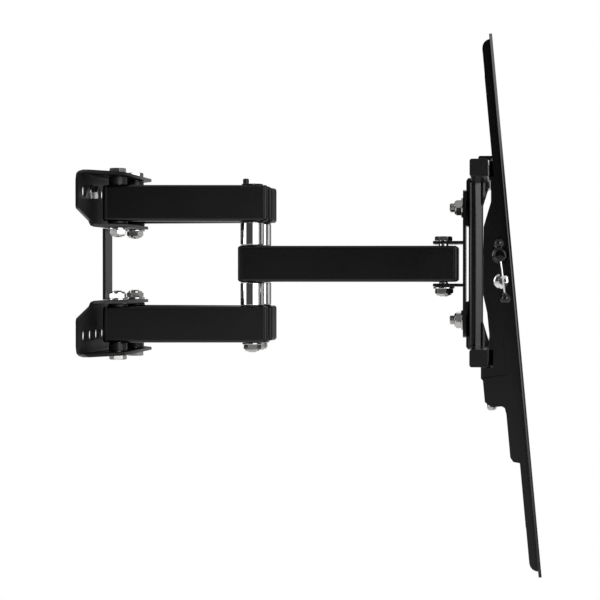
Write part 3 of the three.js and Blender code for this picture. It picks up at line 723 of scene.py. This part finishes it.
EAR_HEAD = 3.6
EAR_SEAT = node_box("clevis_bolt_near")[1].z - EAR_HEAD
STUB_END = 16.5
near_pin = hex_bolt("clevis_pin_near", node_box("clevis_bolt_near")[0].z, EAR_SEAT, EAR_SEAT + EAR_HEAD)
turned_about(near_pin, "Z", radians(30))
finish(move(near_pin, upright_at(WRIST["near"].x, WRIST["near"].y)), ZINC, "clevis", "zinc",
       "clevis_bolt_near")
near_nut = shifted(nut_copy("clevis_locknut_near", "clevis_near"), z=-EAR_SEAT)
move(near_nut, upright_at(WRIST["near"].x, WRIST["near"].y))
finish(near_nut, ZINC, "clevis", "zinc", "clevis_nut_near")
far_head = hex_form("clevis_head_far", HEX_CORNERS, EAR_SEAT, EAR_SEAT + EAR_HEAD, False, True)
far_stub = round_form("stub", [(3.4, STUB_END), (BOLT_RADIUS, STUB_END + 0.6), (BOLT_RADIUS, EAR_SEAT + 1)],
                      SMALL_ROUND_SIDES)
soften(far_head, 0.25)
far_pin = move(join("clevis_pin_far", far_head, far_stub), upright_at(WRIST["far"].x, WRIST["far"].y))
finish(far_pin, ZINC, "clevis", "zinc", "clevis_bolt_far")
far_end = node_box("clevis_nut_far")[0].z
far_tail = round_form("tail", [(2.9, far_end)] + thread_steps(BOLT_RADIUS, far_end + 0.5, -EAR_SEAT - 1)
                      + [(BOLT_RADIUS, -EAR_SEAT), (BOLT_RADIUS, -STUB_END)], SMALL_ROUND_SIDES)
smoothed(far_tail)
far_nut = shifted(nut_copy("clevis_locknut_far", "clevis_far"), z=-EAR_SEAT)
far_nut = move(join("clevis_locknut_far", far_nut, far_tail), upright_at(WRIST["far"].x, WRIST["far"].y))
finish(far_nut, ZINC, "clevis", "zinc", "clevis_nut_far")

# ---------- head ----------
COLUMN_BACK = node_box("head_column")[0].x
COLUMN_FRONT = COLUMN_BACK + 13.6
COLUMN_HALF = 30.0
COLUMN_BEND = 4.2
BAND_LEAN = 25
BAND_DEPTH = 3.6
PAD_INNER = 31.0
PAD_OUTER = 60.0
PAD_HALF = 22.0
PAD_DEPTH = 2.6
HEAD_BOLT_Z = 47.0
column = sheet_copy("head_column", "column")
for z in (-HEAD_BOLT_Z, HEAD_BOLT_Z):
    bore = round_form("cutter", [(BORE_RADIUS, -8), (BORE_RADIUS, 8)], SMALL_ROUND_SIDES)
    boolean(column, move(bore, forward_at(COLUMN_BACK + 2, 0, z)))
soften(column, 0.4)
band_x = COLUMN_FRONT - COLUMN_BEND + BAND_DEPTH * sin(radians(BAND_LEAN))
band_y = COLUMN_HALF - COLUMN_BEND + BAND_DEPTH * cos(radians(BAND_LEAN))
for out in SIDES.values():
    shave(column, band_x, out * band_y, out, BAND_LEAN, ahead=2.1)
shade(column, 20)
for up in LEVELS.values():
    ends = sorted((up * PAD_INNER, up * PAD_OUTER))
    pad = box_form("pad", (COLUMN_BACK, -PAD_HALF, ends[0]), (COLUMN_BACK + PAD_DEPTH, PAD_HALF, ends[1]))
    round_edges(pad, meeting((0, COLUMN_BACK), (2, up * PAD_INNER)), 1.6, segments=4)
    column = join("column", column, soften(pad, 0.3))
finish(column, BLACK_STEEL, "head", "black_paint", "head_column")

for level, up in LEVELS.items():
    low, high = node_box(f"rail_{level}")
    rail = plain_box(f"rail_bar_{level}", low, high, 1, 1.8, 0.2)
    finish(rail, BLACK_STEEL, "head", "black_paint", f"rail_{level}")
    for side, out in SIDES.items():
        cap_low, cap_high = node_box(f"rail_cap_{side}_{level}")
        inner = high.y if out > 0 else low.y
        outer = cap_high.y if out > 0 else cap_low.y
        inner += CLEARANCE * out
        plate_low = (low.x, min(inner, outer), low.z)
        plate_high = (high.x, max(inner, outer), high.z)
        end_plate = box_form("plate", plate_low, plate_high)
        round_edges(end_plate, running(1), 1.9)
        round_edges(end_plate, meeting((1, outer)), 0.7, segments=4)
        soften(end_plate, 0.1, angle=50, smooth=50)
        dimple = box_form("dimple", (low.x + 3.4, min(outer, outer - out * 0.5), low.z + 3.2),
                          (high.x - 3.4, max(outer, outer - out * 0.5), high.z - 3.2))
        dimple.data.transform(Matrix.Translation((0, out * 0.12 * MM, 0)))
        soften(dimple, 0.18)
        tongue = box_form("tongue", (low.x + 2.1, min(inner, inner - out * 8), low.z + 2.1),
                          (high.x - 2.1, max(inner, inner - out * 8), high.z - 2.1))
        soften(tongue, 0.4)
        cap = join(f"rail_plug_{side}_{level}", end_plate, dimple, tongue)
        finish(cap, BLACK_PLASTIC, "head", "black_plastic", f"rail_cap_{side}_{level}")

    seat = node_box(f"head_bolt_{level}")[1].x
    tip = node_box(f"head_bolt_{level}")[0].x
    z = up * HEAD_BOLT_Z
    stem = round_form(f"head_pin_{level}", [(2.9, tip)] + thread_steps(BOLT_RADIUS, tip + 0.5, tip + 18)
                      + [(BOLT_RADIUS, tip + 19), (BOLT_RADIUS, seat - 3)], SMALL_ROUND_SIDES)
    smoothed(stem)
    button = round_form("button", [
        (6.3, seat - 3.8), (6.6, seat - 3.5), (6.5, seat - 2.6), (6.1, seat - 1.7), (5.3, seat - 0.9),
        (4.2, seat - 0.35), (2.8, seat)])
    socket = hex_form("cutter", 5.4, seat - 2.4, seat + 1, False, False)
    soften(boolean(button, socket), 0.15)
    pin = join(f"head_pin_{level}", stem, button)
    finish(move(pin, forward_at(0, 0, z)), ZINC, "head", "zinc", f"head_bolt_{level}")
    nut_seat = node_box(f"head_nut_{level}")[1].x
    nut = move(nut_copy(f"head_locknut_{level}", f"head_{level}"), forward_at(nut_seat, 0, z))
    finish(nut, ZINC, "head", "zinc", f"head_nut_{level}")

# ---------- hangers, screen arms and clamps ----------
TILT_REST = radians(5.27)
WEB_INNER = 107.0
WEB_OUTER = 109.5
ARM_FACE = 10.15
ARM_EDGE = 131.0
EDGE_LEAN = 21.8
COIN_HALF = 7.05
COIN_Z = 74.85
COIN_TURN = radians(32.6)
HANGER_BACK = 328.8
BAR_LEAN = radians(7)
BAR_PLANE = 141.0
BAR_LOW = -33.5
BAR_HIGH = 9.0
BAR_RADIUS = 0.68
KNOB_RADIUS = 3.8

SCREEN_SLOTS = [(73, 58), (131, 46), (183, 42)]
SCREEN_MIDDLE = -19.75


def screen_frame(side):
    """The tilted frame of a screen arm, on its tilt pivot."""
    return (Matrix.Translation(Vector((TILT[side].x, 0, TILT[side].z)) * MM)
            @ Matrix.Rotation(-TILT_REST, 4, "Y"))


for side, out in SIDES.items():
    hanger = sheet_copy(f"hanger_{side}", f"hanger_plate_{side}")
    for place, radius in ((TILT[side], 3.4), (CLAMP[side], 3.4)):
        bore = round_form("cutter", [(radius, -12), (radius, 12)], SMALL_ROUND_SIDES)
        boolean(hanger, move(bore, outward_at(place.x, out * 105, place.z, out)))
    for z in (-COIN_Z, COIN_Z):
        coin = box_form("cutter", (0, min(0, out * 6), -COIN_HALF), (8, max(0, out * 6), COIN_HALF))
        turned_about(coin, "Z", out * COIN_TURN)
        boolean(hanger, shifted(coin, HANGER_BACK, out * 104.2, z))
    soften(hanger, 0.5, segments=3)
    finish(hanger, BLACK_STEEL, f"hanger_{side}", "black_paint", f"hanger_{side}")

    head_seat = WEB_OUTER + CLEARANCE
    dome = round_form(f"tilt_pin_{side}", [
        (4.4, 101.0), (4.8, 101.3), (5.0, 103.7), (3.0, 103.7), (3.0, head_seat), (5.9, head_seat),
        (6.3, head_seat + 0.4), (6.3, head_seat + 1.6), (5.9, head_seat + 2.3), (5.1, head_seat + 2.9),
        (3.9, head_seat + 3.4), (2.6, head_seat + 3.7), (1.2, head_seat + 3.8), (0.3, head_seat + 3.8)])
    socket = hex_form("cutter", 4.6, head_seat + 1.4, head_seat + 6, False, False)
    boolean(dome, socket)
    move(dome, outward_at(TILT[side].x, 0, TILT[side].z, out))
    mill = round_form("cutter", [(2.9, 0), (2.9, 9)], SMALL_ROUND_SIDES)
    turned_about(mill, "X", -out * pi / 2)
    turned_about(mill, "Z", out * radians(36))
    boolean(dome, shifted(mill, TILT[side].x + 4.0, out * (head_seat + 1.9), TILT[side].z + 1.4))
    soften(dome, 0.12)
    finish(dome, CHROME, f"hanger_{side}",
           "bright_chrome", f"tilt_bolt_{side}")

    frame_of_arm = screen_frame(side)
    arm = sheet_copy(f"screen_arm_{side}", f"screen_bracket_{side}")
    move(arm, frame_of_arm.inverted())
    round_edges(arm, meeting((0, ARM_FACE), (1, out * WEB_INNER)), 2.3, segments=6)
    shave(arm, ARM_FACE - 1, out * (ARM_EDGE - 0.4), out, EDGE_LEAN)
    for place, length in SCREEN_SLOTS:
        for end in (-1, 1):
            cutter = slot_cutter(length + 0.1, 8.5, 12)
            upright = Matrix.Rotation(pi / 2, 4, "Y")
            spot = Matrix.Translation(Vector((9, out * 120.25, SCREEN_MIDDLE + end * place)) * MM)
            boolean(arm, move(cutter, spot @ upright))
    bore = round_form("cutter", [(3.4, -12), (3.4, 12)], SMALL_ROUND_SIDES)
    boolean(arm, move(bore, outward_at(0, out * 108, 0, out)))
    soften(arm, 0.4)
    move(arm, frame_of_arm)
    finish(arm, BLACK_STEEL, f"screen_arm_{side}", "black_paint", f"screen_arm_{side}")

    screw = round_form(f"security_pin_{side}", [
        (1.9, -5.0), (2.6, -4.7), (3.3, -4.1), (3.7, -3.0), (3.7, -1.0), (3.3, -0.3), (2.0, -0.3),
        (2.0, 11.4), (1.4, 12.0)], SMALL_ROUND_SIDES)
    socket = hex_form("cutter", 2.6, -8, -3.4, False, False)
    soften(boolean(screw, socket), 0.1)
    spot = Matrix.Translation(Vector((-16.3, out * 99.5, -95.5)) * MM)
    finish(move(screw, frame_of_arm @ spot), ZINC, f"screen_arm_{side}", "zinc", f"security_screw_{side}")

    hub = round_form(f"clamp_hub_{side}", [
        (2.6, 98.0), (2.6, head_seat), (6.2, head_seat), (6.6, head_seat + 0.4), (6.6, head_seat + 2.0),
        (6.2, head_seat + 2.5), (5.2, head_seat + 3.2), (4.8, head_seat + 4.2), (4.8, 144.6), (4.5, 145.3),
        (3.8, 145.8), (0.4, 146.0)])
    soften(hub, 0.15)
    place = outward_at(CLAMP[side].x, 0, CLAMP[side].z, out)
    move(hub, place)
    hole = round_form("cutter", [(1.2, -12), (1.2, 12)], SMALL_ROUND_SIDES)
    bar_place = (Matrix.Translation(Vector((CLAMP[side].x, out * BAR_PLANE, CLAMP[side].z)) * MM)
                 @ Matrix.Rotation(-BAR_LEAN, 4, "Y"))
    boolean(hub, move(hole, bar_place))
    smoothed(hub, 36)
    finish(hub, BLACK_KNOB, f"clamp_{side}", "black_plastic", f"clamp_screw_{side}")

    rod = round_form(f"clamp_rod_{side}", [
        (0.5, BAR_LOW), (BAR_RADIUS, BAR_LOW + 0.3), (BAR_RADIUS, BAR_HIGH - 0.3), (0.5, BAR_HIGH)],
        SMALL_ROUND_SIDES)
    smoothed(rod, 36)
    finish(move(rod, bar_place), CHROME, f"clamp_bar_{side}", "bright_chrome", f"clamp_bar_{side}")
    balls = []
    for height, turn in ((BAR_LOW, pi), (BAR_HIGH, 0)):
        deselect()
        bpy.ops.mesh.primitive_uv_sphere_add(segments=32, ring_count=20, radius=KNOB_RADIUS * MM)
        ball = settle(bpy.context.object, "ball")
        collar = round_form("collar", [(1.9, -4.3), (2.1, -4.1), (2.2, -3.0)], SMALL_ROUND_SIDES)
        smoothed(collar, 36)
        take(ball)
        bpy.ops.object.shade_smooth()
        knob = join("knob", ball, collar)
        turned_about(knob, "X", turn)
        balls.append(shifted(knob, 0, 0, height))
    knobs = join(f"clamp_knobs_{side}", *balls)
    finish(move(knobs, bar_place), BLACK_KNOB, f"clamp_bar_{side}", "black_plastic")

bpy.data.objects.remove(NUT)

# ---------- floor, light and camera ----------
deselect()
bpy.ops.mesh.primitive_plane_add(size=30, location=(0, 0, -0.62))
floor = bpy.context.object
floor.name = "floor"


def camera_white(name, colour):
    """A pale surface that is plain white to the camera, and pale to the light."""
    made = Finish(name)
    seen = made.node("ShaderNodeLightPath", output="Is Camera Ray")
    glow = made.node("ShaderNodeEmission", {}, {"Color": (1, 1, 1, 1), "Strength": 1.0})
    made.set(Base_Color=colour, Roughness=0.9)
    mixed = made.node("ShaderNodeMixShader", {}, {0: seen, 1: Socket(made, made.shader.outputs[0]), 2: glow})
    made.feed(made.tree.nodes["Material Output"].inputs["Surface"], mixed)
    return made.material


floor.data.materials.append(camera_white("pale_floor", (0.8, 0.8, 0.8, 1)))

# What bright metal mirrors, round the room: degrees from the near side towards the screen, and level.
ROOM = [(-180, 1.0), (-175, 1.0), (-171, 0.04), (-92, 0.04), (-86, 2.6), (-60, 2.6), (-55, 0.05),
        (12, 0.05), (17, 3.2), (66, 3.2), (71, 0.25), (94, 0.25), (98, 0.7), (126, 0.7), (131, 0.15),
        (169, 0.15), (174, 1.0), (180, 1.0)]
ROOM_PEAK = 4.0

world = bpy.data.worlds.new("studio")
bpy.context.scene.world = world
studio = Tree(world)
studio.tree.nodes.clear()
toward = studio.node("ShaderNodeSeparateXYZ", {}, {
    "Vector": studio.node("ShaderNodeTexCoord", output="Generated")}, output="X")
bearing = toward.math("ARCTAN2", toward, 0 - toward.beside("Y"))
round_room = studio.node("ShaderNodeValToRGB", {
    "stops": [(degrees / 360 + 0.5, (level / ROOM_PEAK,) * 3 + (1,)) for degrees, level in ROOM],
}, {"Fac": bearing * (0.5 / pi) + 0.5}) * ROOM_PEAK


def facing(height):
    """One where a direction is steep, and nothing where it is near level."""
    return studio.node("ShaderNodeMapRange", {"interpolation_type": "SMOOTHSTEP"},
                       {"Value": height, "From Min": 0.45, "From Max": 0.75})


upward = facing(toward.beside("Z"))
downward = facing(0 - toward.beside("Z"))
level_room = round_room * (1 - upward - downward) + upward * 0.4 + downward * 0.55
mirrored = studio.node("ShaderNodeBackground", {}, {"Strength": level_room})
ambient = studio.node("ShaderNodeBackground", {}, {"Strength": 0.55})
backdrop = studio.node("ShaderNodeBackground", {}, {"Strength": 1.0})
for shade in (mirrored, ambient, backdrop):
    shade.socket.node.inputs["Color"].default_value = (1, 1, 1, 1)
seen = studio.node("ShaderNodeLightPath", output="Is Camera Ray")
unlit = seen.math("MAXIMUM", seen, seen.beside("Is Transmission Ray"))
lit = studio.node("ShaderNodeMixShader", {}, {0: seen.beside("Is Glossy Ray"), 1: ambient, 2: mirrored})
shown = studio.node("ShaderNodeMixShader", {}, {0: unlit, 1: lit, 2: backdrop})
studio.node("ShaderNodeOutputWorld", {}, {"Surface": shown})


def soft_light(name, location, target, size, watts):
    deselect()
    bpy.ops.object.light_add(type="AREA", location=location)
    lamp = bpy.context.object
    lamp.name = name
    lamp.data.shape = "RECTANGLE"
    lamp.data.size, lamp.data.size_y = size
    lamp.data.energy = watts
    lead = Vector(target) - Vector(location)
    lamp.visible_glossy = False
    lamp.rotation_euler = lead.to_track_quat("-Z", "Y").to_euler()
    return lamp


soft_light("over_left", (-0.9, -0.9, 1.5), (0.15, 0, 0), (1.0, 0.8), 11)
soft_light("over_right", (1.5, -0.7, 1.1), (0.25, 0, 0), (0.7, 1.1), 9)
soft_light("above", (0.2, 0.5, 1.7), (0.2, 0, 0), (1.6, 1.0), 12)

deselect()
bpy.ops.object.camera_add(location=(0.3381, -1.6165, -0.0080),
                          rotation=(radians(90 - 0.792), 0, radians(5.965)))
camera = bpy.context.object
camera.data.sensor_width = 36
camera.data.lens = 115.23
camera.data.clip_start = 0.05
camera.data.clip_end = 60
bpy.context.scene.camera = camera

bpy.context.scene.view_settings.view_transform = "Standard"
